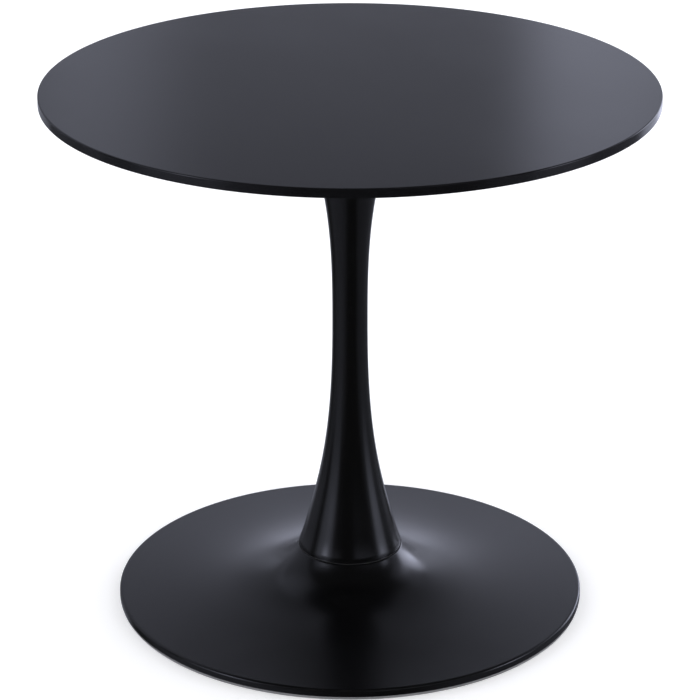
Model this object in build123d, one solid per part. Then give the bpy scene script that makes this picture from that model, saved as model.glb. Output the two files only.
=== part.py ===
from build123d import *
import math
import os

# Round pedestal table, in millimetres. Z is up, and the origin is on the floor under the middle of the base.
# A tie rod on the centre line clamps the top's mounting plate, the column and the base together.
table_height = 720
top_diameter = 800
base_diameter = 631

# Table top: a lacquered fibreboard disc with a bevelled underside, and threaded inserts for the plate's bolts
top_thickness = 18
top_rim_height = 12
top_bevel_width = 36
top_edge_round = 1.5
insert_count = 8
insert_circle_radius = 110
insert_diameter = 9
insert_length = 12
insert_hole_depth = 13

# Steel mounting plate, with the parts that are welded to it
plate_diameter = 264
plate_thickness = 4
plate_edge_chamfer = 1
boss_diameter = 32
boss_length = 26
boss_chamfer = 1.5
locating_ring_height = 7
locating_ring_wall = 4
locating_ring_gap = 0.6

# M6 bolts that hold the plate to the top
bolt_diameter = 6
bolt_length = 14
bolt_head_diameter = 10.5
bolt_head_height = 3.3
bolt_head_round = 2
bolt_key_size = 4
bolt_key_depth = 2
bolt_point_chamfer = 0.7
bolt_hole_diameter = 6.6
bolt_washer_diameter = 12
bolt_washer_thickness = 1.6
thread_clearance = 0.1

# Column: a spun steel trumpet. Each pair is a radius and a height on its outer face, from the foot to the mouth.
column_outline = [
    (70.8, 72),
    (60, 110),
    (45.5, 160),
    (34, 220),
    (26, 300),
    (23.5, 410),
    (26.5, 510),
    (37.5, 590),
    (67.5, 696.5),
]
column_wall = 1.6
column_edge_round = 1.1
column_gasket_thickness = 1.5
column_gasket_width = 4.5
column_gasket_overhang = 0.5
foot_ring_thickness = 6
foot_ring_gap = 0.2

# Tie rod and its fastenings, all M12
rod_diameter = 12
rod_end_chamfer = 1.2
rod_bottom_height = 40
rod_top_gap = 1
nut_width = 19
nut_height = 10
nut_face_diameter = 18.4
nut_corner_angle = 30
jam_nut_height = 6
large_washer_diameter = 37
large_washer_thickness = 3
lock_washer_diameter = 21
lock_washer_thickness = 2.5
lock_washer_slit = 1.5
lock_washer_slit_angle = 20
rod_hole_diameter = 13
clamp_plate_diameter = 116
clamp_plate_thickness = 5

# Base: a spun steel disc that flares up to a flat seat under the column
seat_height = 70.5
neck_radius = 70
neck_edge_round = 2.5
base_rim_height = 14.4
base_wall = 2
base_edge_round = 3.5
base_lip_bottom = 4.2
flare_power = 2.2
flare_points = 8
spigot_radius = 30
spigot_wall = 4
spigot_height = 12
spigot_gap = 0.3
foot_gasket_gap = 0.6
foot_gasket_recess = 0.8

# Floor ring: a grey plastic ring with an upstand that grips the inside of the base's lip
floor_ring_recess = 1.3
floor_ring_width = 9
floor_ring_upstand = 3
floor_ring_upstand_height = 6
floor_ring_edge_round = 0.8

underside = table_height - top_thickness
plate_bottom = underside - plate_thickness
base_radius = base_diameter / 2
foot_height = column_outline[0][1]
mouth_radius, mouth_height = column_outline[-1]
seat_underside = seat_height - base_wall
boss_bottom = plate_bottom - boss_length
clamp_plate_bottom = seat_underside - clamp_plate_thickness
large_washer_bottom = clamp_plate_bottom - large_washer_thickness
lock_washer_bottom = large_washer_bottom - lock_washer_thickness


def at(radius, height):
    return Vector(radius, 0, height)


def spin(edges):
    """Turn a closed outline in the XZ plane once round the Z axis."""
    return Solid.revolve(Face(Wire(edges)), 360, Axis.Z)


def spin_corners(corners):
    return spin(Polyline([at(radius, height) for radius, height in corners], close=True).edges())


def disc(radius, bottom, height):
    return Pos(0, 0, bottom) * extrude(Circle(radius), height)


def ring(outer, inner, bottom, height):
    return Pos(0, 0, bottom) * extrude(Circle(outer) - Circle(inner), height)


def on_insert_circle(shape):
    """One copy of a shape at each insert in the top."""
    return Compound(PolarLocations(insert_circle_radius, insert_count) * shape)


def circles_at(shape, height, radius):
    """The circular edges of a spun shape at one height and radius."""
    edges = shape.edges().filter_by(GeomType.CIRCLE)
    return [e for e in edges if abs(e.radius - radius) < 0.01 and abs(e.center().Z - height) < 0.01]


def column_spline(inset):
    return Spline([at(radius - inset, height) for radius, height in column_outline])


def column_inner_radius(height):
    """Radius of the column's inner face at a height."""
    level = Line(at(0, height), at(top_diameter, height))
    return level.intersect(column_spline(column_wall))[0].center().X


def flare_height(radius):
    """The base's outer face rises towards the neck as the radius to a negative power."""
    outside = (neck_radius / (base_radius - base_edge_round)) ** flare_power
    rise = ((neck_radius / radius) ** flare_power - outside) / (1 - outside)
    return base_rim_height + (seat_height - base_rim_height) * rise


def flare_outline(inset):
    """Points down the flare from the neck to the rim, moved inwards square to the face by an inset."""
    outer = base_radius - base_edge_round
    points = []
    for i in range(flare_points):
        radius = neck_radius * (outer / neck_radius) ** (i / (flare_points - 1))
        step = 0.01
        slope = (flare_height(radius + step) - flare_height(radius - step)) / (2 * step)
        length = math.hypot(1, slope)
        points.append(at(radius + inset * slope / length, flare_height(radius) - inset / length))
    return points


def base_body(inset, bottom):
    """Solid under the base's face, or under its inner face when it is inset by the wall."""
    outline = flare_outline(inset)
    neck, rim = outline[0], outline[-1]
    top = seat_height - inset
    edge_round = base_edge_round - inset
    wall = base_radius - inset
    shoulder = at(wall, rim.Z - edge_round)
    corner = at(wall - edge_round * (1 - math.sqrt(0.5)), rim.Z - edge_round * (1 - math.sqrt(0.5)))
    edges = [Line(at(0, bottom), at(0, top))]
    edges.append(Line(at(0, top), at(neck.X, top)))
    if inset:
        edges.append(Line(at(neck.X, top), neck))
    edges.append(Spline(outline))
    edges.append(ThreePointArc(rim, corner, shoulder))
    edges.append(Line(shoulder, at(wall, bottom)))
    edges.append(Line(at(wall, bottom), at(0, bottom)))
    return spin(edges)


def make_tabletop():
    radius = top_diameter / 2
    rim_bottom = table_height - top_rim_height
    corners = [
        (0, underside),
        (radius - top_bevel_width, underside),
        (radius, rim_bottom),
        (radius, table_height),
        (0, table_height),
    ]
    top = spin_corners(corners)
    top = fillet(circles_at(top, table_height, radius), top_edge_round)
    top = fillet(circles_at(top, rim_bottom, radius), top_edge_round / 2)
    top -= on_insert_circle(disc(insert_diameter / 2, underside, insert_hole_depth))
    return top


def make_threaded_inserts():
    sleeve = ring(insert_diameter / 2, bolt_diameter / 2 + thread_clearance, underside, insert_length)
    return on_insert_circle(sleeve)


def make_mounting_plate():
    plate = disc(plate_diameter / 2, plate_bottom, plate_thickness)
    plate = chamfer(circles_at(plate, plate_bottom, plate_diameter / 2), plate_edge_chamfer)
    plate -= on_insert_circle(disc(bolt_hole_diameter / 2, plate_bottom, plate_thickness))
    return plate


def make_plate_washers():
    bottom = plate_bottom - bolt_washer_thickness
    hole = bolt_hole_diameter / 2
    return on_insert_circle(ring(bolt_washer_diameter / 2, hole, bottom, bolt_washer_thickness))


def make_plate_bolts():
    """Button head bolts with a hexagon socket, heads down."""
    seat = plate_bottom - bolt_washer_thickness
    head_bottom = seat - bolt_head_height
    head = disc(bolt_head_diameter / 2, head_bottom, bolt_head_height)
    head = fillet(circles_at(head, head_bottom, bolt_head_diameter / 2), bolt_head_round)
    socket = RegularPolygon(bolt_key_size / 2, 6, major_radius=False)
    head -= Pos(0, 0, head_bottom) * extrude(socket, bolt_key_depth)
    shank = disc(bolt_diameter / 2, seat, bolt_length)
    shank = chamfer(circles_at(shank, seat + bolt_length, bolt_diameter / 2), bolt_point_chamfer)
    return on_insert_circle(head + shank)


def make_rod_boss():
    boss = ring(boss_diameter / 2, rod_diameter / 2 + thread_clearance, boss_bottom, boss_length)
    return chamfer(circles_at(boss, boss_bottom, boss_diameter / 2), boss_chamfer)


def make_column_locating_ring():
    bottom = plate_bottom - locating_ring_height
    outer = column_inner_radius(bottom) - locating_ring_gap
    return ring(outer, outer - locating_ring_wall, bottom, locating_ring_height)


def make_column_top_gasket():
    outer = mouth_radius + column_gasket_overhang
    return ring(outer, outer - column_gasket_width, mouth_height, column_gasket_thickness)


def make_column_shell():
    outer = column_spline(0)
    inner = column_spline(column_wall)
    foot = Line(outer @ 0, inner @ 0)
    mouth = Line(outer @ 1, inner @ 1)
    shell = spin([outer, inner, foot, mouth])
    return fillet(circles_at(shell, foot_height, column_outline[0][0]), column_edge_round)


def make_column_foot_ring():
    outer = column_inner_radius(foot_height + foot_ring_thickness) - foot_ring_gap
    return ring(outer, spigot_radius + spigot_gap, foot_height, foot_ring_thickness)


def make_tie_rod():
    top = plate_bottom - rod_top_gap
    rod = disc(rod_diameter / 2, rod_bottom_height, top - rod_bottom_height)
    rod = chamfer(circles_at(rod, top, rod_diameter / 2), rod_end_chamfer)
    return chamfer(circles_at(rod, rod_bottom_height, rod_diameter / 2), rod_end_chamfer)


def hex_nut(bottom, height):
    """Hexagon nut whose corners are turned back by a cone at both faces."""
    corner = nut_width / math.sqrt(3)
    turned = nut_face_diameter / 2
    lift = (corner - turned) * math.tan(math.radians(nut_corner_angle))
    blank = Pos(0, 0, bottom) * extrude(RegularPolygon(nut_width / 2, 6, major_radius=False), height)
    outline = [(0, bottom), (turned, bottom), (corner, bottom + lift)]
    outline += [(corner, bottom + height - lift), (turned, bottom + height), (0, bottom + height)]
    nut = blank & spin_corners(outline)
    return nut - disc(rod_diameter / 2 + thread_clearance, bottom, height)


def make_rod_jam_nut():
    return hex_nut(boss_bottom - jam_nut_height, jam_nut_height)


def make_base_shell():
    bottom = base_lip_bottom
    shell = base_body(0, bottom) - base_body(base_wall, bottom - 1)
    shell -= disc(rod_hole_diameter / 2, seat_underside - 1, base_wall + 2)
    return fillet(circles_at(shell, seat_height, neck_radius), neck_edge_round)


def make_base_spigot():
    return ring(spigot_radius, spigot_radius - spigot_wall, seat_height, spigot_height)


def make_foot_gasket():
    outer = column_outline[0][0] - foot_gasket_recess
    return ring(outer, spigot_radius + foot_gasket_gap, seat_height, foot_height - seat_height)


def make_clamp_plate():
    plate = ring(clamp_plate_diameter / 2, rod_hole_diameter / 2, clamp_plate_bottom, clamp_plate_thickness)
    return chamfer(circles_at(plate, clamp_plate_bottom, clamp_plate_diameter / 2), plate_edge_chamfer)


def make_clamp_washer():
    return ring(large_washer_diameter / 2, rod_hole_diameter / 2, large_washer_bottom, large_washer_thickness)


def make_lock_washer():
    """Split spring washer."""
    outer = lock_washer_diameter / 2
    inner = rod_diameter / 2 + 2 * thread_clearance
    washer = ring(outer, inner, lock_washer_bottom, lock_washer_thickness)
    slit = Pos(outer / 2, 0, lock_washer_bottom + lock_washer_thickness / 2)
    slit *= Rot(lock_washer_slit_angle, 0, 0) * Box(outer, lock_washer_slit, 4 * lock_washer_thickness)
    return washer - slit


def make_tie_nut():
    return hex_nut(lock_washer_bottom - nut_height, nut_height)


def make_floor_ring():
    outer = base_radius - floor_ring_recess
    grip = base_radius - base_wall
    corners = [
        (outer - floor_ring_width, 0),
        (outer, 0),
        (outer, base_lip_bottom),
        (grip, base_lip_bottom),
        (grip, base_lip_bottom + floor_ring_upstand_height),
        (grip - floor_ring_upstand, base_lip_bottom + floor_ring_upstand_height),
        (grip - floor_ring_upstand, base_lip_bottom),
        (outer - floor_ring_width, base_lip_bottom),
    ]
    floor_ring = spin_corners(corners)
    return fillet(circles_at(floor_ring, 0, outer), floor_ring_edge_round)


sub_parts = {
    "tabletop": make_tabletop,
    "threaded_inserts": make_threaded_inserts,
    "mounting_plate": make_mounting_plate,
    "plate_bolts": make_plate_bolts,
    "plate_washers": make_plate_washers,
    "rod_boss": make_rod_boss,
    "column_locating_ring": make_column_locating_ring,
    "column_top_gasket": make_column_top_gasket,
    "column_shell": make_column_shell,
    "column_foot_ring": make_column_foot_ring,
    "foot_gasket": make_foot_gasket,
    "tie_rod": make_tie_rod,
    "rod_jam_nut": make_rod_jam_nut,
    "base_shell": make_base_shell,
    "base_spigot": make_base_spigot,
    "clamp_plate": make_clamp_plate,
    "clamp_washer": make_clamp_washer,
    "lock_washer": make_lock_washer,
    "tie_nut": make_tie_nut,
    "floor_ring": make_floor_ring,
}

os.makedirs("parts", exist_ok=True)
for name, make in sub_parts.items():
    shape = make()
    export_step(shape, f"parts/{name}.step")
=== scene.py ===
import bpy
import math
import numpy as np
from collections import Counter
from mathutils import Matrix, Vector


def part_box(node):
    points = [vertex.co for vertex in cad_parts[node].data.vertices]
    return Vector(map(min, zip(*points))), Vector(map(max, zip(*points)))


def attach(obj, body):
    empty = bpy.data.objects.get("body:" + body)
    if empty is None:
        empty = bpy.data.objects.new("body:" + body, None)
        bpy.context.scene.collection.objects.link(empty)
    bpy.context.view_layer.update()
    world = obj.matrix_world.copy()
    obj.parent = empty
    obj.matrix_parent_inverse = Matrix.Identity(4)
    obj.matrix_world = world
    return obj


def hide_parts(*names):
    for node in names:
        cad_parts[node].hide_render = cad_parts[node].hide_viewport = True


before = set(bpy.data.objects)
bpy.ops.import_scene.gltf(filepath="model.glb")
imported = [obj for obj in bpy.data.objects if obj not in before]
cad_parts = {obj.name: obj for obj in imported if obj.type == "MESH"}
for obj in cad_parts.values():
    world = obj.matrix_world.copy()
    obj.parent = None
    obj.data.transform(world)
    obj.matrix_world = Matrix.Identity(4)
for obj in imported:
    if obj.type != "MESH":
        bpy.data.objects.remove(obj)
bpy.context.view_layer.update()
print("frame loaded,", len(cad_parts), "nodes")

mm = 0.001
samePlace = 1e-9  # metres; points closer than this are one point
joinDecimals = 7  # places in which two grids' points agree where they are joined
supportReach = 0.25  # how far past an arc its support point stands, in parts of the rounding


# Shapes. Every piece is a surface of two parameters: one goes round it, the other runs along its outline.

def nodeSpan(node):
    # outer radius, lowest level and highest level of a CAD node that is round about Z
    low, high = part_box(node)
    return high.x, low.z, high.z


def roundCorners(corners, closed=True, steps=9):
    # corners are (radius, height, rounding). A corner P with unit directions a and b to its neighbours
    # becomes the arc about P + (a + b) / |a + b| * rounding / sin(half the angle between them).
    # A support point beyond each end of an arc keeps smooth shading flat on the faces between.
    # The second result is the edge mask, which is 1 in the middle of each arc and 0 off it.
    corners = np.array(corners, float)
    outline, edge = [], []
    for i, corner in enumerate(corners):
        point, rounding = corner[:2], corner[2]
        if rounding == 0 or (not closed and i in (0, len(corners) - 1)):
            outline.append(point[None])
            edge.append([0.0])
            continue
        a = corners[i - 1][:2] - point
        b = corners[(i + 1) % len(corners)][:2] - point
        a, b = a / np.hypot(*a), b / np.hypot(*b)
        half = math.acos(np.clip(a @ b, -1, 1)) / 2
        reach = rounding / math.tan(half)
        centre = point + (a + b) / np.hypot(*(a + b)) * rounding / math.sin(half)
        start, end = point + a * reach - centre, point + b * reach - centre
        sweep = math.atan2(start[0] * end[1] - start[1] * end[0], start @ end)
        turn = math.atan2(start[1], start[0]) + np.linspace(0, sweep, steps)
        arc = centre + rounding * np.stack([np.cos(turn), np.sin(turn)], axis=1)
        beyond = reach + supportReach * rounding
        outline += [(point + a * beyond)[None], arc, (point + b * beyond)[None]]
        edge += [[0.0], np.sin(np.linspace(0, np.pi, steps)), [0.0]]
    return np.vstack(outline), np.concatenate(edge)


def smoothCurve(knots, count):
    # natural cubic spline through the knots against chord length, solved for its second derivatives
    knots = np.array(knots, float)
    step = np.hypot(*np.diff(knots, axis=0).T)
    system = np.eye(len(knots))
    inner = np.arange(1, len(knots) - 1)
    system[inner, inner - 1] = step[:-1]
    system[inner, inner] = 2 * (step[:-1] + step[1:])
    system[inner, inner + 1] = step[1:]
    bend = np.zeros_like(knots)
    bend[1:-1] = 6 * np.diff(np.diff(knots, axis=0) / step[:, None], axis=0)
    bend = np.linalg.solve(system, bend)
    distance = np.r_[0, np.cumsum(step)]
    place = np.linspace(0, distance[-1], count)
    k = np.clip(np.searchsorted(distance, place, side="right") - 1, 0, len(step) - 1)
    h, u = step[k][:, None], (place - distance[k])[:, None]
    v = h - u
    curved = (bend[k] * v**3 + bend[k + 1] * u**3) / (6 * h)
    fromStart = (knots[k] / h - bend[k] * h / 6) * v
    fromEnd = (knots[k + 1] / h - bend[k + 1] * h / 6) * u
    return curved + fromStart + fromEnd


def moveSquare(outline, distance):
    # each point moves square to the outline, to the right of its direction of travel
    along = np.gradient(outline, axis=0)
    along /= np.hypot(along[:, 0], along[:, 1])[:, None]
    return outline + distance * np.stack([along[:, 1], -along[:, 0]], axis=1)


def turns(segments):
    return np.linspace(0, 2 * np.pi, segments, endpoint=False)


def turnAbout(radius, height, segments):
    # point (i, j) is at angle i about Z. Radius and height are one row for every angle, or a row for each.
    angle = turns(segments)[:, None]
    radius = np.broadcast_to(radius, (segments, np.shape(radius)[-1]))
    height = np.broadcast_to(height, radius.shape)
    return np.stack([radius * np.cos(angle), radius * np.sin(angle), height], axis=-1)


def spin(outline, segments):
    return turnAbout(outline[:, 0], outline[:, 1], segments)


def gridFaces(points, closedAround, closedAlong):
    # quads between neighbouring points. A column whose points all meet is a pole, and its quads become
    # triangles
    around, along = points.shape[:2]
    index = np.arange(around * along).reshape(around, along)
    poles = np.ptp(points, axis=0).max(axis=-1) < samePlace
    index[:, poles] = index[0, poles]
    if closedAround:
        index = np.vstack([index, index[:1]])
    if closedAlong:
        index = np.hstack([index, index[:, :1]])
    quads = np.stack([index[:-1, :-1], index[1:, :-1], index[1:, 1:], index[:-1, 1:]], axis=-1)
    quads = quads.reshape(-1, 4)
    first, last = quads[:, 0] == quads[:, 1], quads[:, 2] == quads[:, 3]
    triangles = np.vstack([quads[first][:, [0, 2, 3]], quads[last][:, [0, 1, 2]]])
    quads = quads[~first & ~last]
    used = np.concatenate([quads.ravel(), triangles.ravel()])
    kept, renumbered = np.unique(used, return_inverse=True)
    quads = renumbered[:quads.size].reshape(-1, 4)
    triangles = renumbered[quads.size:].reshape(-1, 3)
    vertices = points.reshape(-1, 3)[kept]
    fans = np.vstack([quads[:, [0, 1, 2]], quads[:, [0, 2, 3]], triangles])
    a, b, c = vertices[fans[:, 0]], vertices[fans[:, 1]], vertices[fans[:, 2]]
    if np.einsum("ij,ij->", a, np.cross(b, c)) < 0:  # six times the volume inside, negative when inside out
        quads, triangles = quads[:, ::-1], triangles[:, ::-1]
    return vertices, quads, triangles, kept


def joinGrids(vertices, faces):
    # points in one place become one point, and a face that two grids share is inside the piece, so both
    # copies go
    places = np.round(vertices, joinDecimals)
    _, first, kept = np.unique(places, axis=0, return_index=True, return_inverse=True)
    kept = kept.ravel()
    faces = [tuple(dict.fromkeys(kept[list(face)].tolist())) for face in faces]
    alike = Counter(frozenset(face) for face in faces)
    return first, [face for face in faces if alike[frozenset(face)] == 1 and len(face) > 2]


def makePiece(name, node, grids, material, edge=None, closedAround=True, closedAlong=True, joined=False,
              sharpAngle=35):
    # one object from one or more grids of points, which stands for a CAD node and rides with it
    vertices, faces, shade, count = [], [], [], 0
    for points in grids:
        spots, quads, triangles, kept = gridFaces(points, closedAround, closedAlong)
        mask = np.zeros(points.shape[1]) if edge is None else edge
        vertices.append(spots)
        faces += (quads + count).tolist() + (triangles + count).tolist()
        shade.append(np.tile(mask, points.shape[0])[kept])
        count += len(spots)
    vertices, shade = np.vstack(vertices), np.concatenate(shade)
    if joined:
        first, faces = joinGrids(vertices, faces)
        vertices, shade = vertices[first], shade[first]
    mesh = bpy.data.meshes.new(name)
    mesh.from_pydata(vertices.tolist(), [], faces)
    attribute = mesh.attributes.new("edge", "FLOAT", "POINT")
    attribute.data.foreach_set("value", shade.astype(np.float32))
    mesh.shade_smooth()
    mesh.set_sharp_from_angle(angle=math.radians(sharpAngle))
    mesh.materials.append(material)
    piece = bpy.data.objects.new(name, mesh)
    bpy.context.scene.collection.objects.link(piece)
    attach(piece, "root")
    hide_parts(node)
    return piece


def makeRing(name, node, corners, material, segments=192):
    # a plain spun piece; corners are (radius, height, rounding) round its section
    outline, edge = roundCorners(corners)
    return makePiece(name, node, [spin(outline, segments)], material, edge)


def hexRadius(angle, flats):
    # distance from the middle to the side of a hexagon, in the direction of the angle
    return flats / 2 / np.cos(np.mod(angle, np.pi / 3) - np.pi / 6)


def threadDepth(height, pitch, depth, low, high, segments):
    # a triangular ridge that climbs one pitch a turn, and runs out over a pitch at either end
    climb = turns(segments)[:, None] / (2 * np.pi)
    ridge = np.abs(2 * np.mod(height / pitch - climb, 1) - 1)
    runOut = np.clip(np.minimum(height - low, high - height) / pitch, 0, 1)
    return depth * runOut * ridge


def ringOfCopies(points, radius, count):
    # the same grid of points at each place on a circle about Z, turned to face outwards
    copies = []
    for angle in turns(count):
        sine, cosine = math.sin(angle), math.cos(angle)
        turn = np.array([[cosine, sine, 0], [-sine, cosine, 0], [0, 0, 1]])
        copies.append((points + np.array([radius, 0, 0])) @ turn)
    return copies


# Materials. An effect that several of them share is a node group, placed with each material's own values.

def addNode(tree, kind, **settings):
    # settings are the node's own properties, or the start values of its inputs
    node = tree.nodes.new(kind)
    for key, value in settings.items():
        if hasattr(node, key):
            setattr(node, key, value)
        else:
            node.inputs[key.replace("_", " ")].default_value = value
    return node


def connect(tree, value, socket):
    if isinstance(value, bpy.types.NodeSocket):
        tree.links.new(value, socket)
    else:
        socket.default_value = value


def calculate(tree, operation, *values):
    node = addNode(tree, "ShaderNodeMath", operation=operation)
    for value, socket in zip(values, node.inputs):
        connect(tree, value, socket)
    return node.outputs[0]


def noise(tree, place, scale, detail=2.0, roughness=0.5):
    node = addNode(tree, "ShaderNodeTexNoise", Detail=detail, Roughness=roughness)
    connect(tree, place, node.inputs["Vector"])
    connect(tree, scale, node.inputs["Scale"])
    return node.outputs["Fac"]


def spread(tree, value, low, high, newLow=0.0, newHigh=1.0):
    node = addNode(tree, "ShaderNodeMapRange", From_Min=low, From_Max=high, To_Min=newLow, To_Max=newHigh)
    connect(tree, value, node.inputs["Value"])
    return node.outputs["Result"]


def blendColour(tree, mask, first, second):
    node = addNode(tree, "ShaderNodeMix", data_type="RGBA")
    connect(tree, mask, node.inputs["Factor"])
    connect(tree, first, node.inputs[6])
    connect(tree, second, node.inputs[7])
    return node.outputs[2]


def newGroup(name, inputs, outputs):
    group = bpy.data.node_groups.new(name, "ShaderNodeTree")
    for label, value in inputs.items():
        socket = group.interface.new_socket(label, in_out="INPUT", socket_type="NodeSocketFloat")
        socket.default_value = value
    for label in outputs:
        group.interface.new_socket(label, in_out="OUTPUT", socket_type="NodeSocketFloat")
    return group, addNode(group, "NodeGroupInput").outputs, addNode(group, "NodeGroupOutput").inputs


def useGroup(tree, group, **values):
    node = addNode(tree, "ShaderNodeGroup", node_tree=group)
    for key, value in values.items():
        node.inputs[key].default_value = value
    return node.outputs


def makeSurfaceGrain():
    # Height, in millimetres, is long soft waves under a fine grain. Patch and Speck run from 0 to 1, for
    # slow and for close changes over the piece.
    inputs = {"Wave": 300.0, "WaveHeight": 0.004, "Grain": 2500.0, "GrainHeight": 0.001, "Patch": 7.0}
    group, given, result = newGroup("surfaceGrain", inputs, ["Height", "Patch", "Speck"])
    place = addNode(group, "ShaderNodeTexCoord").outputs["Object"]
    wave = calculate(group, "MULTIPLY", noise(group, place, given["Wave"]), given["WaveHeight"])
    fine = noise(group, place, given["Grain"], detail=3.0, roughness=0.6)
    grain = calculate(group, "MULTIPLY", fine, given["GrainHeight"])
    connect(group, calculate(group, "ADD", wave, grain), result["Height"])
    connect(group, noise(group, place, given["Patch"], detail=4.0, roughness=0.6), result["Patch"])
    connect(group, fine, result["Speck"])
    return group


def makeEdgeWearAndHighlight():
    # rounded edges, partly polished by hands and partly a painted highlight: the mesh's edge attribute,
    # broken up by noise
    group, given, result = newGroup("edgeWearAndHighlight", {"Amount": 0.5, "Scale": 60.0}, ["Mask"])
    place = addNode(group, "ShaderNodeTexCoord").outputs["Object"]
    edge = addNode(group, "ShaderNodeAttribute", attribute_name="edge").outputs["Fac"]
    cloud = noise(group, place, given["Scale"], detail=5.0, roughness=0.65)
    broken = spread(group, cloud, low=0.35, high=0.7)
    wearAndHighlight = calculate(group, "MULTIPLY", edge, broken)
    connect(group, calculate(group, "MULTIPLY", wearAndHighlight, given["Amount"]), result["Mask"])
    return group


dustFall = {"steepness": 6.0, "speckScale": 1400.0}


def makeDustVeil():
    # dust settles where the surface faces up, thinly and in drifts
    group, given, result = newGroup("dustVeil", {"Amount": 0.05, "Scale": 40.0}, ["Mask"])
    place = addNode(group, "ShaderNodeTexCoord").outputs["Object"]
    normal = addNode(group, "ShaderNodeSeparateXYZ")
    connect(group, addNode(group, "ShaderNodeNewGeometry").outputs["Normal"], normal.inputs[0])
    upward = calculate(group, "MAXIMUM", normal.outputs["Z"], 0.0)
    facingUp = calculate(group, "POWER", upward, dustFall["steepness"])
    cloud = noise(group, place, given["Scale"], detail=6.0, roughness=0.7)
    drift = spread(group, cloud, low=0.3, high=0.75)
    specks = spread(group, noise(group, place, dustFall["speckScale"]), low=0.62, high=0.75)
    laid = calculate(group, "MULTIPLY", facingUp, calculate(group, "ADD", drift, specks))
    connect(group, calculate(group, "MULTIPLY", laid, given["Amount"]), result["Mask"])
    return group


surfaceGrain = makeSurfaceGrain()
edgeWearAndHighlight = makeEdgeWearAndHighlight()
dustVeil = makeDustVeil()


commonIor = 1.5


def newMaterial(name, colour, metallic=0.0):
    material = bpy.data.materials.new(name)
    material.use_nodes = True
    material.diffuse_color = (*colour, 1)
    shader = material.node_tree.nodes["Principled BSDF"]
    shader.inputs["Metallic"].default_value = metallic
    shader.inputs["IOR"].default_value = commonIor
    return material, material.node_tree, shader.inputs


def setBump(tree, height, shader):
    # height is in millimetres
    bump = addNode(tree, "ShaderNodeBump", Strength=1.0, Distance=mm)
    connect(tree, height, bump.inputs["Height"])
    connect(tree, bump.outputs["Normal"], shader["Normal"])


paintWear = {"wearAndHighlightScale": 70.0, "rubPolish": 0.08, "dustScale": 9.0, "dustColour": (0.16, 0.155, 0.15),
             "dustDulls": 0.5, "paleGain": 1.35, "paleLift": 0.0004}


def makePaint(name, look):
    # black paint: colour, gloss and skin all change a little over the piece, rounded edges are lighter,
    # partly as wear and partly as a painted highlight, and dust dulls what faces up
    material, tree, shader = newMaterial(name, look["colour"])
    wear = paintWear
    skin = useGroup(tree, surfaceGrain, Wave=look["wave"], WaveHeight=look["waveHeight"],
                    Grain=look["grain"], GrainHeight=look["grainHeight"], Patch=look["patch"])
    wearAndHighlight = useGroup(tree, edgeWearAndHighlight, Amount=look["wearAndHighlightAmount"], Scale=wear["wearAndHighlightScale"])["Mask"]
    dust = useGroup(tree, dustVeil, Amount=look["dust"], Scale=wear["dustScale"])["Mask"]
    pale = tuple(channel * wear["paleGain"] + wear["paleLift"] for channel in look["colour"])
    paint = blendColour(tree, skin["Speck"], (*look["colour"], 1), (*pale, 1))
    # the lighter edge colour is partly wear and partly a painted highlight
    wornAndHighlighted = blendColour(tree, wearAndHighlight, paint, (*look["wornAndHighlighted"], 1))
    connect(tree, blendColour(tree, dust, wornAndHighlighted, (*wear["dustColour"], 1)), shader["Base Color"])
    glossy, satin = look["roughness"]
    gloss = spread(tree, skin["Patch"], low=0.3, high=0.7, newLow=glossy, newHigh=satin)
    polish = calculate(tree, "MULTIPLY", wearAndHighlight, wear["rubPolish"])
    dulling = calculate(tree, "MULTIPLY", dust, wear["dustDulls"])
    polished = calculate(tree, "SUBTRACT", gloss, polish)
    connect(tree, calculate(tree, "ADD", polished, dulling), shader["Roughness"])
    setBump(tree, skin["Height"], shader)
    return material


metalSkin = {"wave": 150.0, "waveHeight": 0.004, "grain": 3500.0, "grainHeight": 0.0012, "wearAndHighlightAmount": 0.8,
             "wearAndHighlightScale": 200.0, "turningRough": 0.06}


def makeMetal(name, look):
    # plated or bare metal with turning marks about Z, stains, and rounded edges made brighter, partly as
    # rubbing and partly as a painted highlight
    material, tree, shader = newMaterial(name, look["colour"], metallic=1.0)
    skin = metalSkin
    grain = useGroup(tree, surfaceGrain, Wave=skin["wave"], WaveHeight=skin["waveHeight"],
                     Grain=skin["grain"], GrainHeight=skin["grainHeight"], Patch=look["patch"])
    wearAndHighlight = useGroup(tree, edgeWearAndHighlight, Amount=skin["wearAndHighlightAmount"], Scale=skin["wearAndHighlightScale"])["Mask"]
    place = addNode(tree, "ShaderNodeSeparateXYZ")
    connect(tree, addNode(tree, "ShaderNodeTexCoord").outputs["Object"], place.inputs[0])
    across = calculate(tree, "POWER", place.outputs["X"], 2.0)
    deep = calculate(tree, "POWER", place.outputs["Y"], 2.0)
    radius = calculate(tree, "SQRT", calculate(tree, "ADD", across, deep))
    track = addNode(tree, "ShaderNodeCombineXYZ")
    connect(tree, radius, track.inputs["X"])
    connect(tree, place.outputs["Z"], track.inputs["Z"])
    turned = noise(tree, track.outputs[0], look["turning"])
    stained = spread(tree, grain["Patch"], low=0.35, high=0.75)
    metal = blendColour(tree, stained, (*look["colour"], 1), (*look["stain"], 1))
    # the bright edge colour is partly rubbed metal and partly a painted highlight
    connect(tree, blendColour(tree, wearAndHighlight, metal, (*look["bright"], 1)), shader["Base Color"])
    bright, dull = look["roughness"]
    rough = spread(tree, stained, low=0.0, high=1.0, newLow=bright, newHigh=dull)
    turning = calculate(tree, "MULTIPLY", turned, skin["turningRough"])
    connect(tree, calculate(tree, "ADD", rough, turning), shader["Roughness"])
    marks = calculate(tree, "MULTIPLY", turned, look["markDepth"])
    setBump(tree, calculate(tree, "ADD", grain["Height"], marks), shader)
    return material


mouldSkin = {"wave": 220.0, "waveHeight": 0.006, "patch": 35.0, "wearAndHighlightAmount": 0.4, "wearAndHighlightScale": 120.0}


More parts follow.
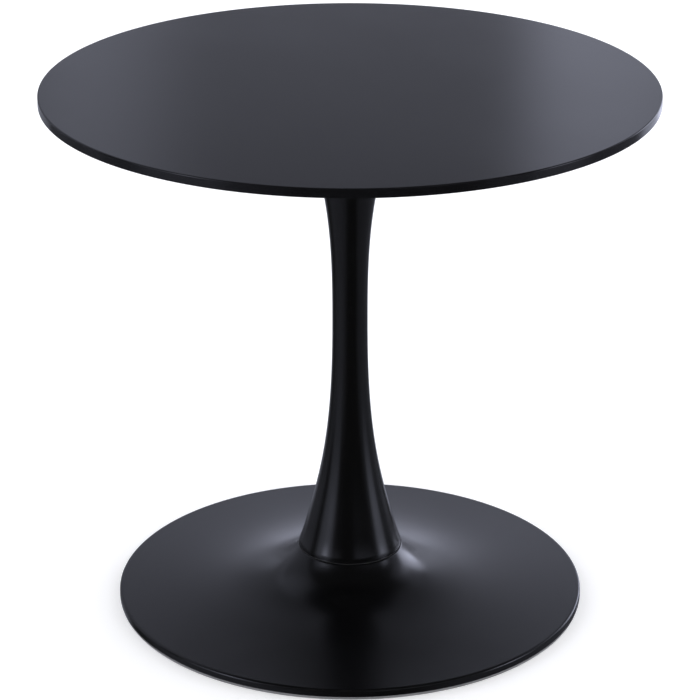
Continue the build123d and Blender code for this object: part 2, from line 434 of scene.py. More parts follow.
def makeMoulded(name, look):
    # rubber or plastic: a moulded grain, a bloom that pales it in patches, and rounded edges made lighter,
    # partly as wear and partly as a painted highlight
    material, tree, shader = newMaterial(name, look["colour"])
    skin = mouldSkin
    grain = useGroup(tree, surfaceGrain, Wave=skin["wave"], WaveHeight=skin["waveHeight"],
                     Grain=look["grain"], GrainHeight=look["grainHeight"], Patch=skin["patch"])
    wearAndHighlight = useGroup(tree, edgeWearAndHighlight, Amount=skin["wearAndHighlightAmount"], Scale=skin["wearAndHighlightScale"])["Mask"]
    bloom = spread(tree, grain["Patch"], low=0.35, high=0.8)
    body = blendColour(tree, bloom, (*look["colour"], 1), (*look["bloom"], 1))
    # the lighter edge colour is partly wear and partly a painted highlight
    connect(tree, blendColour(tree, wearAndHighlight, body, (*look["wornAndHighlighted"], 1)), shader["Base Color"])
    smooth, rough = look["roughness"]
    gloss = spread(tree, grain["Speck"], low=0.3, high=0.7, newLow=smooth, newHigh=rough)
    connect(tree, gloss, shader["Roughness"])
    setBump(tree, grain["Height"], shader)
    return material


# Each material's worn or bright colour lightens its rounded edges, partly as wear and partly as a painted
# highlight.
topLacquer = makePaint("topLacquer", {
    "colour": (0.0024, 0.0024, 0.0030), "wornAndHighlighted": (0.012, 0.012, 0.013), "roughness": (0.14, 0.17),
    "wave": 240.0, "waveHeight": 0.0015, "grain": 2600.0, "grainHeight": 0.0004, "patch": 5.0,
    "wearAndHighlightAmount": 0.35, "dust": 0.006})
columnPaint = makePaint("columnPaint", {
    "colour": (0.0012, 0.0012, 0.0013), "wornAndHighlighted": (0.008, 0.008, 0.008), "roughness": (0.20, 0.24),
    "wave": 330.0, "waveHeight": 0.002, "grain": 2800.0, "grainHeight": 0.0005, "patch": 14.0,
    "wearAndHighlightAmount": 0.4, "dust": 0.0})
basePaint = makePaint("basePaint", {
    "colour": (0.0014, 0.0014, 0.0016), "wornAndHighlighted": (0.010, 0.010, 0.010), "roughness": (0.21, 0.26),
    "wave": 330.0, "waveHeight": 0.002, "grain": 2800.0, "grainHeight": 0.0005, "patch": 8.0,
    "wearAndHighlightAmount": 0.4, "dust": 0.004})
platePaint = makePaint("platePaint", {
    "colour": (0.010, 0.010, 0.011), "wornAndHighlighted": (0.06, 0.06, 0.06), "roughness": (0.42, 0.55),
    "wave": 400.0, "waveHeight": 0.012, "grain": 2200.0, "grainHeight": 0.004, "patch": 30.0,
    "wearAndHighlightAmount": 0.7, "dust": 0.0})
innerSteel = makeMetal("innerSteel", {
    "colour": (0.42, 0.42, 0.43), "stain": (0.25, 0.23, 0.21), "bright": (0.62, 0.62, 0.62),
    "roughness": (0.32, 0.5), "patch": 45.0, "turning": 3500.0, "markDepth": 0.004})
platedSteel = makeMetal("platedSteel", {
    "colour": (0.55, 0.56, 0.58), "stain": (0.42, 0.43, 0.44), "bright": (0.78, 0.78, 0.78),
    "roughness": (0.2, 0.34), "patch": 90.0, "turning": 6000.0, "markDepth": 0.0015})
insertBrass = makeMetal("insertBrass", {
    "colour": (0.62, 0.45, 0.19), "stain": (0.40, 0.28, 0.13), "bright": (0.80, 0.62, 0.30),
    "roughness": (0.24, 0.4), "patch": 110.0, "turning": 7000.0, "markDepth": 0.002})
gasketRubber = makeMoulded("gasketRubber", {
    "colour": (0.008, 0.008, 0.008), "bloom": (0.016, 0.016, 0.016), "wornAndHighlighted": (0.03, 0.03, 0.03),
    "roughness": (0.62, 0.82), "grain": 1600.0, "grainHeight": 0.006})
ringPlastic = makeMoulded("ringPlastic", {
    "colour": (0.17, 0.17, 0.175), "bloom": (0.24, 0.24, 0.245), "wornAndHighlighted": (0.34, 0.34, 0.34),
    "roughness": (0.38, 0.52), "grain": 1900.0, "grainHeight": 0.004})
print("materials made:", len(bpy.data.materials))


# Table top: a lacquered disc with a small round on its upper edge, an upright rim and a bevelled underside

topShape = {"rimHeight": 12 * mm, "bevelWidth": 36 * mm, "edgeRound": 1.5 * mm, "lowerRound": 0.75 * mm,
            "bevelRound": 2 * mm, "segments": 480}


def makeTableTop():
    radius, low, high = nodeSpan("tabletop")
    shape = topShape
    outline, edge = roundCorners([
        (0, high, 0),
        (radius, high, shape["edgeRound"]),
        (radius, high - shape["rimHeight"], shape["lowerRound"]),
        (radius - shape["bevelWidth"], low, shape["bevelRound"]),
        (0, low, 0)], closed=False)
    grid = spin(outline, shape["segments"])
    return makePiece("tableTop", "tabletop", [grid], topLacquer, edge, closedAlong=False)


makeTableTop()
print("table top made")


# Column: a spun trumpet. The knots are radius and height in millimetres on its outer face, from foot to
# mouth, and the foot flares a little more than the rest.

columnShape = {"knots": [(70.8, 72), (65, 88), (58.6, 110), (45.5, 160), (34, 220), (26, 300), (23.5, 410),
                         (26.5, 510), (37.5, 590), (67.5, 696.5)],
               "wall": 1.6 * mm, "footRound": 1.1 * mm, "footSteps": 10, "steps": 160, "segments": 256}
footClearance = 1.5  # the face starts this many foot roundings above the foot


def makeColumn():
    # the outer face is the spline through the knots; the inner face is the same curve, a wall nearer the
    # middle; the foot's outer edge is an arc that leaves the face at its own slope and ends facing down
    shape = columnShape
    outer = smoothCurve(shape["knots"], shape["steps"]) * mm
    inner = outer[::-1] - [shape["wall"], 0]
    rounding = shape["footRound"]
    level = outer[0, 1]
    face = outer[outer[:, 1] > level + rounding * footClearance]
    direction = face[1] - face[0]
    slope = math.atan2(-direction[0], direction[1])
    turn = np.linspace(-np.pi / 2, slope, shape["footSteps"])
    centre = face[0] - rounding * np.array([math.cos(slope), math.sin(slope)])
    centre[1] = level + rounding
    arc = centre + rounding * np.stack([np.cos(turn), np.sin(turn)], axis=1)
    outline = np.vstack([arc, face, inner])
    edge = np.r_[np.sin(np.linspace(0, np.pi, len(arc))), np.zeros(len(face) + len(inner))]
    grid = spin(outline, shape["segments"])
    return makePiece("columnShell", "column_shell", [grid], columnPaint, edge)


makeColumn()
print("column made")


# Base: a spun disc whose face flares up to a flat seat, with a rounded edge and a turned-down lip

baseShape = {"neckRadius": 70 * mm, "neckRound": 2.5 * mm, "rimHeight": 14.4 * mm, "edgeRound": 3.5 * mm,
             "wall": 2 * mm, "holeRadius": 6.5 * mm, "holeRound": 0.3 * mm, "lipRound": 0.5 * mm,
             "innerNeckRound": 1 * mm, "neckGap": 2.5 * mm, "shoulderGap": 2 * mm, "flarePower": 2.2,
             "steps": 100, "segments": 360}


def flareHeight(radius, outer, seat):
    # the face rises towards the neck as the radius to a negative power
    shape = baseShape
    far = (shape["neckRadius"] / outer) ** shape["flarePower"]
    rise = ((shape["neckRadius"] / radius) ** shape["flarePower"] - far) / (1 - far)
    return shape["rimHeight"] + (seat - shape["rimHeight"]) * rise


def makeBase():
    # the section runs out from the hole over the seat, down the flare, round the lip and back underneath;
    # the flare's points keep clear of the roundings at the neck and at the shoulder
    shape = baseShape
    outerRadius, lip, seat = nodeSpan("base_shell")
    neck, wall, hole, rim = shape["neckRadius"], shape["wall"], shape["holeRadius"], shape["rimHeight"]
    shoulder = outerRadius - shape["edgeRound"]
    radius = neck * (shoulder / neck) ** np.linspace(0, 1, shape["steps"])
    face = np.stack([radius, flareHeight(radius, shoulder, seat)], axis=1)
    back = moveSquare(face, wall)
    near, far = neck + shape["neckGap"], shoulder - shape["shoulderGap"]
    face = face[(face[:, 0] > near) & (face[:, 0] < far)]
    back = back[(back[:, 0] > near - wall) & (back[:, 0] < far)][::-1]
    inside = outerRadius - wall
    outline, edge = roundCorners(
        [(hole, seat, shape["holeRound"]), (neck, seat, shape["neckRound"])] +
        [(r, h, 0) for r, h in face] +
        [(outerRadius, rim, shape["edgeRound"]), (outerRadius, lip, shape["lipRound"]),
         (inside, lip, shape["lipRound"]), (inside, rim - wall, shape["edgeRound"] - wall)] +
        [(r, h, 0) for r, h in back] +
        [(neck - wall, seat - wall, shape["innerNeckRound"]), (hole, seat - wall, shape["holeRound"])])
    return makePiece("baseShell", "base_shell", [spin(outline, shape["segments"])], basePaint, edge)


makeBase()
print("base made")


# Floor ring: a grey plastic band under the lip, with an upstand that grips the lip's inside

ringShape = {"width": 9 * mm, "bandHeight": 4.2 * mm, "upstand": 3 * mm, "gripInset": 0.7 * mm,
             "footRound": 0.8 * mm, "bandRound": 0.15 * mm, "innerRound": 0.4 * mm, "segments": 400}


def makeFloorRing():
    outer, low, high = nodeSpan("floor_ring")
    shape = ringShape
    inner, grip, band = outer - shape["width"], outer - shape["gripInset"], low + shape["bandHeight"]
    upstand, soft = grip - shape["upstand"], shape["innerRound"]
    makeRing("floorRing", "floor_ring", [
        (inner, low, soft), (outer, low, shape["footRound"]), (outer, band, shape["bandRound"]),
        (grip, band, 0), (grip, high, soft), (upstand, high, soft), (upstand, band, 0),
        (inner, band, soft)], ringPlastic, shape["segments"])


makeFloorRing()
print("floor ring made")


# Gaskets: thin rubber rings with softly rounded edges

gasketShape = {"footBore": 30.6 * mm, "mouthWidth": 4.5 * mm, "edgeRound": 0.5 * mm}


def makeGasket(name, node, bore):
    outer, low, high = nodeSpan(node)
    rounding = gasketShape["edgeRound"]
    makeRing(name, node, [(bore, low, rounding), (outer, low, rounding), (outer, high, rounding),
                          (bore, high, rounding)], gasketRubber)


makeGasket("footGasket", "foot_gasket", gasketShape["footBore"])
mouthBore = nodeSpan("column_top_gasket")[0] - gasketShape["mouthWidth"]
makeGasket("mouthGasket", "column_top_gasket", mouthBore)
print("gaskets made")


# Mounting plate: a disc with a ring of bolt holes

plateShape = {"holes": 8, "holeCircle": 110 * mm, "holeRadius": 3.3 * mm, "chamfer": 1 * mm,
              "edgeRound": 0.35 * mm, "rimSteps": 24}


def plateSector(radius, steps):
    # the border of one hole's share of a disc, with its middle on the X axis: along the rim, and back by
    # the centre
    half = np.pi / plateShape["holes"]
    turn = np.linspace(-half, half, steps, endpoint=False)
    rim = radius * np.stack([np.cos(turn), np.sin(turn)], axis=1)
    inward = np.linspace(radius, 0, steps, endpoint=False)
    back = np.linspace(0, radius, steps, endpoint=False)
    firstSide = inward[:, None] * np.array([math.cos(half), math.sin(half)])
    lastSide = back[:, None] * np.array([math.cos(half), -math.sin(half)])
    return np.vstack([rim, firstSide, lastSide])


def makePlate():
    # each hole's share is a grid: one way goes round its bolt hole, the other goes over the top from the
    # hole to the border, down the border, and back to the hole underneath
    outer, low, high = nodeSpan("mounting_plate")
    shape = plateShape
    border = plateSector(outer, shape["rimSteps"])
    lower = plateSector(outer - shape["chamfer"], shape["rimSteps"])
    place = np.array([shape["holeCircle"], 0])
    around = border - place
    around = around / np.hypot(around[:, 0], around[:, 1])[:, None]
    hole = place + shape["holeRadius"] * around
    lip = place + (shape["holeRadius"] + shape["edgeRound"]) * around
    rows = [(hole, high - shape["edgeRound"]), (lip, high), (border, high),
            (border, low + shape["chamfer"]), (lower, low), (lip, low), (hole, low + shape["edgeRound"])]
    sector = np.stack([np.c_[flat, np.full(len(flat), level)] for flat, level in rows], axis=1)
    edge = np.array([1.0, 1.0, 0.0, 1.0, 1.0, 1.0, 1.0])  # all rows but the top's border
    sectors = ringOfCopies(sector, 0, shape["holes"])
    makePiece("mountingPlate", "mounting_plate", sectors, platePaint, edge, joined=True)


makePlate()
print("mounting plate made")


# Bolts, washers and inserts of the mounting plate

boltShape = {"count": 8, "circle": 110 * mm, "headHeight": 3.3 * mm, "domeRound": 2 * mm, "domeSteps": 8,
             "headEdge": 0.15 * mm, "keySize": 4 * mm, "keyDepth": 2 * mm, "keyTip": 0.3 * mm,
             "keyBottom": 0.97, "keyRound": 0.1 * mm, "keyMouth": 1.04, "keyChamfer": 0.12 * mm,
             "shankRadius": 3 * mm, "point": 0.7 * mm, "pitch": 1 * mm, "threadDepth": 0.55 * mm,
             "stepsPerPitch": 8, "segments": 36}
washerShape = {"bore": 3.3 * mm, "edgeRound": 0.3 * mm, "roundSteps": 4, "segments": 48}
insertShape = {"bore": 3.1 * mm, "knurls": 24, "knurlDepth": 0.25 * mm, "groove": 0.5 * mm,
               "grooveHalf": 0.5 * mm, "grooveSlope": 0.3 * mm, "endChamfer": 0.3 * mm,
               "threadDepth": 0.35 * mm, "boreSteps": 96, "segments": 72}


def makeBolts():
    # head down: from the tip of the key socket's cone, out of the socket and over the dome, up the threaded
    # shank to the point
    outer, low, high = nodeSpan("plate_bolts")
    shape = boltShape
    headRadius, seat = outer - shape["circle"], low + shape["headHeight"]
    segments, point = shape["segments"], shape["point"]
    keyTop = low + shape["keyDepth"]
    keyParts = np.array([0.0, shape["keyBottom"], 1.0, 1.0, shape["keyMouth"]])
    key = hexRadius(turns(segments), shape["keySize"])[:, None] * keyParts
    keyHeight = [keyTop + shape["keyTip"], keyTop, keyTop - shape["keyRound"], low + shape["keyChamfer"],
                 low]
    dome = np.linspace(0, np.pi / 2, shape["domeSteps"])
    domeRadius = headRadius - shape["domeRound"] + shape["domeRound"] * np.sin(dome)
    domeHeight = low + shape["domeRound"] * (1 - np.cos(dome))
    head = np.tile(np.r_[domeRadius, headRadius, headRadius - shape["headEdge"]], (segments, 1))
    headHeight = np.r_[domeHeight, seat - shape["headEdge"], seat]
    count = round((high - seat) / shape["pitch"] * shape["stepsPerPitch"])
    shankHeight = np.linspace(seat, high, count)
    thread = threadDepth(shankHeight, shape["pitch"], shape["threadDepth"], seat, high - point, segments)
    cone = np.clip(1 - (high - shankHeight) / point, 0, 1) * point
    shank = shape["shankRadius"] - cone - thread
    radius = np.hstack([key, head, shank, np.zeros((segments, 1))])
    points = turnAbout(radius, np.r_[keyHeight, headHeight, shankHeight, high], segments)
    edge = np.r_[0, 0.3, 0.3, 1, 1, np.linspace(0.6, 0, len(dome)), 1, 1, np.full(count, 0.3), 0]
    bolts = ringOfCopies(points, shape["circle"], shape["count"])
    makePiece("plateBolts", "plate_bolts", bolts, platedSteel, edge, closedAlong=False)


def makeWashers():
    outer, low, high = nodeSpan("plate_washers")
    shape = washerShape
    radius, bore, rounding = outer - boltShape["circle"], shape["bore"], shape["edgeRound"]
    outline, edge = roundCorners([(bore, low, rounding), (radius, low, rounding), (radius, high, rounding),
                                  (bore, high, rounding)], steps=shape["roundSteps"])
    washers = ringOfCopies(spin(outline, shape["segments"]), boltShape["circle"], boltShape["count"])
    makePiece("plateWashers", "plate_washers", washers, platedSteel, edge)


def makeInserts():
    # brass sleeves with straight knurling in two bands, and a plain groove between them
    outer, low, high = nodeSpan("threaded_inserts")
    shape = insertShape
    radius = outer - boltShape["circle"]
    middle, chamfer, segments = (low + high) / 2, shape["endChamfer"], shape["segments"]
    inner = shape["grooveHalf"]
    wide = inner + shape["grooveSlope"]
    height = np.array([low, low + chamfer, middle - wide, middle - inner, middle + inner, middle + wide,
                       high - chamfer, high])
    cut = np.array([chamfer, 0, 0, shape["groove"], shape["groove"], 0, 0, chamfer])
    knurled = (cut == 0) * shape["knurlDepth"]
    ridge = 0.5 + 0.5 * np.cos(shape["knurls"] * turns(segments))[:, None]
    outside = radius - cut - knurled * ridge
    boreHeight = np.linspace(high, low, shape["boreSteps"])
    thread = threadDepth(boreHeight, boltShape["pitch"], shape["threadDepth"], low, high, segments)
    points = turnAbout(np.hstack([outside, shape["bore"] + thread]), np.r_[height, boreHeight], segments)
    edge = np.r_[np.full(len(height), 0.7), np.full(len(boreHeight), 0.1)]
    inserts = ringOfCopies(points, boltShape["circle"], boltShape["count"])
    makePiece("threadedInserts", "threaded_inserts", inserts, insertBrass, edge)


makeBolts()
makeWashers()
makeInserts()
print("plate fastenings made")


# Tie rod, nuts and washers on the centre line, all with the same coarse thread

rodShape = {"pitch": 1.75 * mm, "threadDepth": 0.95 * mm, "endChamfer": 1.2 * mm, "threadedTop": 52 * mm,
            "threadedBottom": 45 * mm, "stepsPerPitch": 8, "segments": 48}
nutShape = {"flats": 19 * mm, "face": 9.2 * mm, "bore": 6.1 * mm, "boreChamfer": 0.6 * mm,
            "chamferDepth": 0.5 * mm, "cornerAngle": 30, "threadDepth": 0.5 * mm, "stepsPerMm": 5,
            "segments": 96}
bossShape = {"bore": 6.1 * mm, "chamfer": 1.5 * mm, "weldRound": 0.2 * mm, "edgeRound": 0.4 * mm,
             "lowerFlare": 1 * mm, "lowerDepth": 0.8 * mm, "upperFlare": 0.4 * mm, "upperDepth": 0.4 * mm,
             "boreSteps": 120, "segments": 96}
lockWasherShape = {"bore": 6.2 * mm, "slit": 1.5 * mm, "slantAngle": 20, "edgeRound": 0.25 * mm,
                   "roundSteps": 4, "segments": 120}


def makeRod():
    radius, low, high = nodeSpan("tie_rod")
    shape = rodShape
    step = shape["pitch"] / shape["stepsPerPitch"]
    lower = np.arange(low, low + shape["threadedBottom"], step)
    upper = np.arange(high - shape["threadedTop"], high, step)
    height = np.r_[lower, upper, high]
    thread = np.hstack([
        threadDepth(lower, shape["pitch"], shape["threadDepth"], low, lower[-1], shape["segments"]),
        threadDepth(upper, shape["pitch"], shape["threadDepth"], upper[0], high, shape["segments"]),
        np.zeros((shape["segments"], 1))])
    nearEnd = np.minimum(height - low, high - height)
    body = radius - np.clip(shape["endChamfer"] - nearEnd, 0, None) - thread
    end = np.zeros((shape["segments"], 1))
    points = turnAbout(np.hstack([end, body, end]), np.r_[low, height, high], shape["segments"])
    edge = np.r_[0, np.full(len(height), 0.2), 0]
    makePiece("tieRod", "tie_rod", [points], platedSteel, edge, closedAlong=False)


def makeNut(name, node):
    # the sides follow a hexagon, and both faces fall away at its corners as a cone
    low, high = nodeSpan(node)[1:]
    shape = nutShape
    segments, depth = shape["segments"], shape["chamferDepth"]
    flat = hexRadius(turns(segments), shape["flats"])[:, None]
    drop = np.clip(flat - shape["face"], 0, None) * math.tan(math.radians(shape["cornerAngle"]))
    face = np.full_like(flat, shape["face"])
    inner = np.full_like(flat, shape["bore"] + shape["boreChamfer"])
    bottom, top = np.full_like(flat, low), np.full_like(flat, high)
    boreHeight = np.linspace(high - depth, low + depth, round((high - low) / mm * shape["stepsPerMm"]))
    thread = threadDepth(boreHeight, rodShape["pitch"], shape["threadDepth"], low, high, segments)
    radius = np.hstack([inner, face, flat, flat, face, inner, shape["bore"] + thread])
    height = np.hstack([bottom, bottom, low + drop, high - drop, top, top,
                        np.tile(boreHeight, (segments, 1))])
    edge = np.r_[0.2, 0.5, 1, 1, 0.5, 0.2, np.full(len(boreHeight), 0.1)]
    points = turnAbout(radius, height, segments)
    makePiece(name, node, [points], platedSteel, edge, sharpAngle=25)


def makeBoss():
    # the outline goes round the outside, and the threaded bore closes it
    radius, low, high = nodeSpan("rod_boss")
    shape = bossShape
    bore, segments = shape["bore"], shape["segments"]
    outline, edge = roundCorners([
        (bore + shape["lowerFlare"], low, 0),
        (radius - shape["chamfer"], low, shape["edgeRound"]),
        (radius, low + shape["chamfer"], shape["edgeRound"]),
        (radius, high, shape["weldRound"]),
        (bore + shape["upperFlare"], high, 0)], closed=False)
    boreHeight = np.linspace(high - shape["upperDepth"], low + shape["lowerDepth"], shape["boreSteps"])
    thread = threadDepth(boreHeight, rodShape["pitch"], nutShape["threadDepth"], low, high, segments)
    radii = np.hstack([np.tile(outline[:, 0], (segments, 1)), bore + thread])
    points = turnAbout(radii, np.r_[outline[:, 1], boreHeight], segments)
    makePiece("rodBoss", "rod_boss", [points], platePaint, np.r_[edge, np.full(len(boreHeight), 0.1)])


def makeLockWasher():
    # a flat ring whose section is carried round from one side of a slanting slit to the other, closed at
    # both ends
    outer, low, high = nodeSpan("lock_washer")
    shape = lockWasherShape
    bore, rounding = shape["bore"], shape["edgeRound"]
    section = roundCorners([(bore, low, rounding), (outer, low, rounding), (outer, high, rounding),
                            (bore, high, rounding)], steps=shape["roundSteps"])[0]
    lean = -(section[:, 1] - (low + high) / 2) * math.tan(math.radians(shape["slantAngle"]))
    start = (lean + shape["slit"] / 2) / section[:, 0]
    end = 2 * np.pi + (lean - shape["slit"] / 2) / section[:, 0]
    along = np.linspace(0, 1, shape["segments"])
    angle = start[:, None] + (end - start)[:, None] * along
    radius, height = section[:, :1], np.broadcast_to(section[:, 1:], angle.shape)
    points = np.stack([radius * np.cos(angle), radius * np.sin(angle), height], axis=-1)
    caps = points.mean(axis=0, keepdims=True).repeat(len(section), axis=0)
    points = np.concatenate([caps[:, :1], points, caps[:, -1:]], axis=1)
    makePiece("lockWasher", "lock_washer", [points], platedSteel, closedAlong=False)


# Plain discs with a bore. The lower outer edge has a rounding of its own.

locatingBore = nodeSpan("column_locating_ring")[0] - 4 * mm
boredDiscs = {
    "clampWasher": {"node": "clamp_washer", "bore": 6.5 * mm, "edgeRound": 0.5 * mm, "lowerRound": 0.5 * mm,
                    "material": platedSteel},
    "clampPlate": {"node": "clamp_plate", "bore": 6.5 * mm, "edgeRound": 0.5 * mm, "lowerRound": 1.5 * mm,
                   "material": innerSteel},
    "baseSpigot": {"node": "base_spigot", "bore": 26 * mm, "edgeRound": 0.6 * mm, "lowerRound": 0.3 * mm,
                   "material": innerSteel},
    "columnFootRing": {"node": "column_foot_ring", "bore": 30.3 * mm, "edgeRound": 0.6 * mm,
                       "lowerRound": 0.3 * mm, "material": innerSteel},
    "locatingRing": {"node": "column_locating_ring", "bore": locatingBore, "edgeRound": 0.6 * mm,
                     "lowerRound": 0.6 * mm, "material": platePaint},
}


def makeBoredDisc(name, shape):
    outer, low, high = nodeSpan(shape["node"])
    bore, rounding = shape["bore"], shape["edgeRound"]
    makeRing(name, shape["node"], [(bore, low, rounding), (outer, low, shape["lowerRound"]),
                                   (outer, high, rounding), (bore, high, rounding)], shape["material"])


makeRod()
makeNut("tieNut", "tie_nut")
makeNut("jamNut", "rod_jam_nut")
makeBoss()
makeLockWasher()
for name, shape in boredDiscs.items():
    makeBoredDisc(name, shape)
print("rod, nuts, washers and rings made")


# Floor, softboxes, world and camera

floorSetup = {"radius": 60.0, "segments": 96, "colour": (0.93, 0.93, 0.93), "roughness": 0.9, "glow": 0.25}
worldLight = {"seen": 1.0, "matt": 0.85, "mirrored": 0.03}
# Softboxes stand round the table at one distance, unless they give their own. Azimuth is to the right of
# straight behind the table and elevation is above its middle; width and height are in degrees too, and soft
# is the part of each half that fades out.
softboxDistance = 6.0
softboxColour = (0.94, 0.98, 1.21)
softboxes = {
    "backRight": {"azimuth": 44.5, "elevation": 5, "size": (40, 35), "soft": (0.4, 0.5), "strength": 2.1},
    "backRightFill": {"azimuth": 17.5, "elevation": -1, "size": (26, 79), "soft": (0.2, 0.6),
                      "strength": 0.49},
    "sideRightFill": {"azimuth": 59, "elevation": 23, "size": (53, 48), "soft": (0.3, 0.5),
                      "strength": 0.30},
    "backLeft": {"azimuth": -23.5, "elevation": -2, "size": (39, 85), "soft": (0.25, 0.25),
                 "strength": 0.255},
    "sideLeft": {"azimuth": -62, "elevation": 21, "size": (55, 88), "soft": (0.35, 0.6), "strength": 0.26},
    "backLow": {"azimuth": 0, "elevation": 6, "size": (19, 20), "soft": (0.4, 0.5), "strength": 1.08},
    "backHigh": {"azimuth": 0, "elevation": 19, "size": (24, 18), "soft": (0.3, 0.35), "strength": 0.21},
    "stripLeft": {"azimuth": -118, "elevation": 7, "size": (48, 62), "soft": (0.5, 1.0), "strength": 0.75},
    "stripRight": {"azimuth": 101, "elevation": 1, "size": (32, 39), "soft": (0.45, 1.0), "strength": 1.2},
    "groundRight": {"azimuth": 88, "elevation": -41, "size": (96, 86), "soft": (0.3, 0.35),
                    "strength": 0.12},
    "groundLeft": {"azimuth": -114, "elevation": -37, "size": (98, 52), "soft": (0.75, 0.35),
                   "strength": 0.18},
    "overhead": {"azimuth": -15, "elevation": 54, "size": (95, 44), "soft": (0.5, 0.35), "strength": 0.16},
    "cardBack": {"azimuth": 0, "elevation": 0, "size": (70, 20), "soft": (0.3, 0.4), "strength": 0.26,
                 "distance": 1.3},
    "cardRight": {"azimuth": 45, "elevation": -8, "size": (40, 16), "soft": (0.5, 0.4), "strength": 0.9,
                  "distance": 1.5},
    "kickLeft": {"azimuth": -122, "elevation": 13, "size": (16, 24), "soft": (0.6, 0.6), "strength": 3.0},
    "kickRight": {"azimuth": 102, "elevation": 11, "size": (16, 24), "soft": (0.6, 0.6), "strength": 3.0},
    "spotRight": {"azimuth": 60, "elevation": 24, "size": (20, 20), "soft": (0.6, 0.6), "strength": 0.58},
    "frontLeft": {"azimuth": -138, "elevation": 18, "size": (46, 20), "soft": (0.5, 0.5), "strength": 0.4},
    "frontRight": {"azimuth": 146, "elevation": 16, "size": (58, 24), "soft": (0.5, 0.5), "strength": 0.32},
}
softboxAim = (0, 0, 0.35)
cameraSetup = {"place": (0, -3.626, 1.838), "tilt": 67.75, "lens": 151.35, "sensor": 36.0}


def makeFloor():
    # a flat disc, not seen in reflections, and clear from below so that the underside can be looked at
    material = bpy.data.materials.new("studioFloor")
    material.use_nodes = True
    tree = material.node_tree
    shader = tree.nodes["Principled BSDF"]
    shader.inputs["Base Color"].default_value = (*floorSetup["colour"], 1)
    shader.inputs["Emission Color"].default_value = (1, 1, 1, 1)
    shader.inputs["Emission Strength"].default_value = floorSetup["glow"]
    shader.inputs["Roughness"].default_value = floorSetup["roughness"]
    shader.inputs["Specular IOR Level"].default_value = 0.0
    mix = addNode(tree, "ShaderNodeMixShader")
    connect(tree, addNode(tree, "ShaderNodeNewGeometry").outputs["Backfacing"], mix.inputs[0])
    connect(tree, shader.outputs[0], mix.inputs[1])
    connect(tree, addNode(tree, "ShaderNodeBsdfTransparent").outputs[0], mix.inputs[2])
    connect(tree, mix.outputs[0], tree.nodes["Material Output"].inputs["Surface"])
    rim = turnAbout(np.array([floorSetup["radius"]]), np.array([0.0]), floorSetup["segments"])[:, 0]
    mesh = bpy.data.meshes.new("studioFloor")
    mesh.from_pydata(rim.tolist(), [], [list(range(len(rim)))])
    mesh.materials.append(material)
    floor = bpy.data.objects.new("studioFloor", mesh)
    floor.visible_glossy = False
    floor.visible_shadow = False
    bpy.context.scene.collection.objects.link(floor)


def makeWorld():
    # white to the camera, even light on matt surfaces, and a faint even light in reflections
    world = bpy.data.worlds.new("studioWorld")
    world.use_nodes = True
    bpy.context.scene.world = world
    tree = world.node_tree
    background = tree.nodes["Background"]
    background.inputs["Color"].default_value = (1, 1, 1, 1)
    path = addNode(tree, "ShaderNodeLightPath").outputs
    seen = calculate(tree, "MULTIPLY", path["Is Camera Ray"], worldLight["seen"] - worldLight["matt"])
    dimmed = worldLight["mirrored"] - worldLight["matt"]
    mirrored = calculate(tree, "MULTIPLY", path["Is Glossy Ray"], dimmed)
    change = calculate(tree, "ADD", seen, mirrored)
    connect(tree, calculate(tree, "ADD", change, worldLight["matt"]), background.inputs["Strength"])
    world.cycles.sampling_method = "NONE"


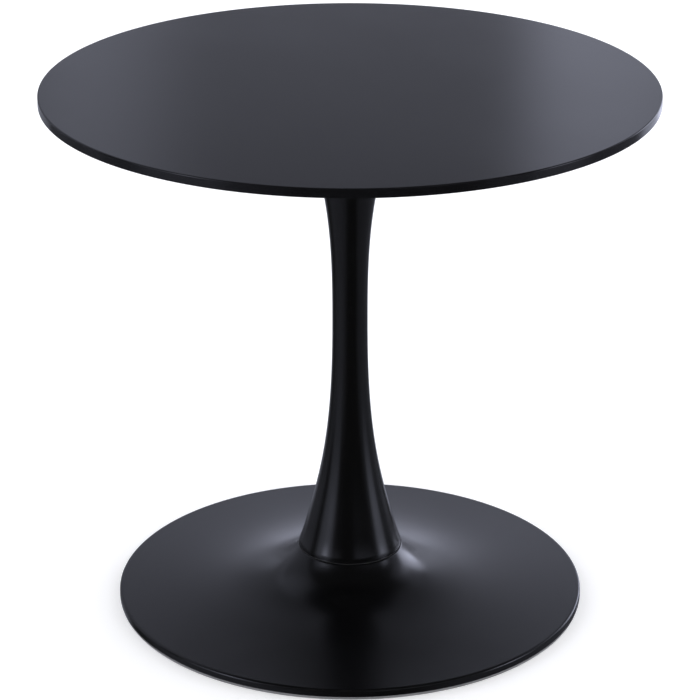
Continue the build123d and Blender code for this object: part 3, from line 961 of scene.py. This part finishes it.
def makeSoftbox(name, setup):
    # a glowing panel that faces the table and fades out over its soft border. It isn't seen by the camera,
    # and it is clear, so that panels that overlap add up.
    material = bpy.data.materials.new(name)
    material.use_nodes = True
    tree = material.node_tree
    tree.nodes.clear()
    place = addNode(tree, "ShaderNodeSeparateXYZ")
    connect(tree, addNode(tree, "ShaderNodeTexCoord").outputs["Object"], place.inputs[0])
    strength = setup["strength"]
    for axis, soft in zip("XY", setup["soft"]):
        inside = calculate(tree, "SUBTRACT", 1.0, calculate(tree, "ABSOLUTE", place.outputs[axis]))
        border = addNode(tree, "ShaderNodeMapRange", interpolation_type="SMOOTHSTEP", From_Max=soft)
        connect(tree, inside, border.inputs["Value"])
        strength = calculate(tree, "MULTIPLY", border.outputs["Result"], strength)
    back = addNode(tree, "ShaderNodeNewGeometry").outputs["Backfacing"]
    emission = addNode(tree, "ShaderNodeEmission", Color=(*softboxColour, 1))
    front = calculate(tree, "SUBTRACT", 1.0, back)
    connect(tree, calculate(tree, "MULTIPLY", front, strength), emission.inputs["Strength"])
    both = addNode(tree, "ShaderNodeAddShader")
    connect(tree, emission.outputs[0], both.inputs[0])
    connect(tree, addNode(tree, "ShaderNodeBsdfTransparent").outputs[0], both.inputs[1])
    output = addNode(tree, "ShaderNodeOutputMaterial")
    connect(tree, both.outputs[0], output.inputs["Surface"])
    mesh = bpy.data.meshes.new(name)
    mesh.from_pydata([(-1, -1, 0), (1, -1, 0), (1, 1, 0), (-1, 1, 0)], [], [(0, 1, 2, 3)])
    mesh.materials.append(material)
    panel = bpy.data.objects.new(name, mesh)
    azimuth, elevation = math.radians(setup["azimuth"]), math.radians(setup["elevation"])
    direction = Vector((math.sin(azimuth) * math.cos(elevation), math.cos(azimuth) * math.cos(elevation),
                        math.sin(elevation)))
    distance = setup.get("distance", softboxDistance)
    panel.location = Vector(softboxAim) + distance * direction
    panel.rotation_euler = (-direction).to_track_quat("Z", "Y").to_euler()
    halfWidth, halfHeight = (distance * math.tan(math.radians(angle / 2)) for angle in setup["size"])
    panel.scale = (halfWidth, halfHeight, 1)
    panel.visible_camera = False
    bpy.context.scene.collection.objects.link(panel)


def makeCamera():
    camera = bpy.data.objects.new("camera", bpy.data.cameras.new("camera"))
    camera.location = cameraSetup["place"]
    camera.rotation_euler = (math.radians(cameraSetup["tilt"]), 0, 0)
    camera.data.lens = cameraSetup["lens"]
    camera.data.sensor_width = cameraSetup["sensor"]
    bpy.context.scene.collection.objects.link(camera)
    bpy.context.scene.camera = camera


makeFloor()
makeWorld()
for name, setup in softboxes.items():
    makeSoftbox(name, setup)
makeCamera()
bpy.context.scene.view_settings.view_transform = "Standard"
print("floor, light and camera set")
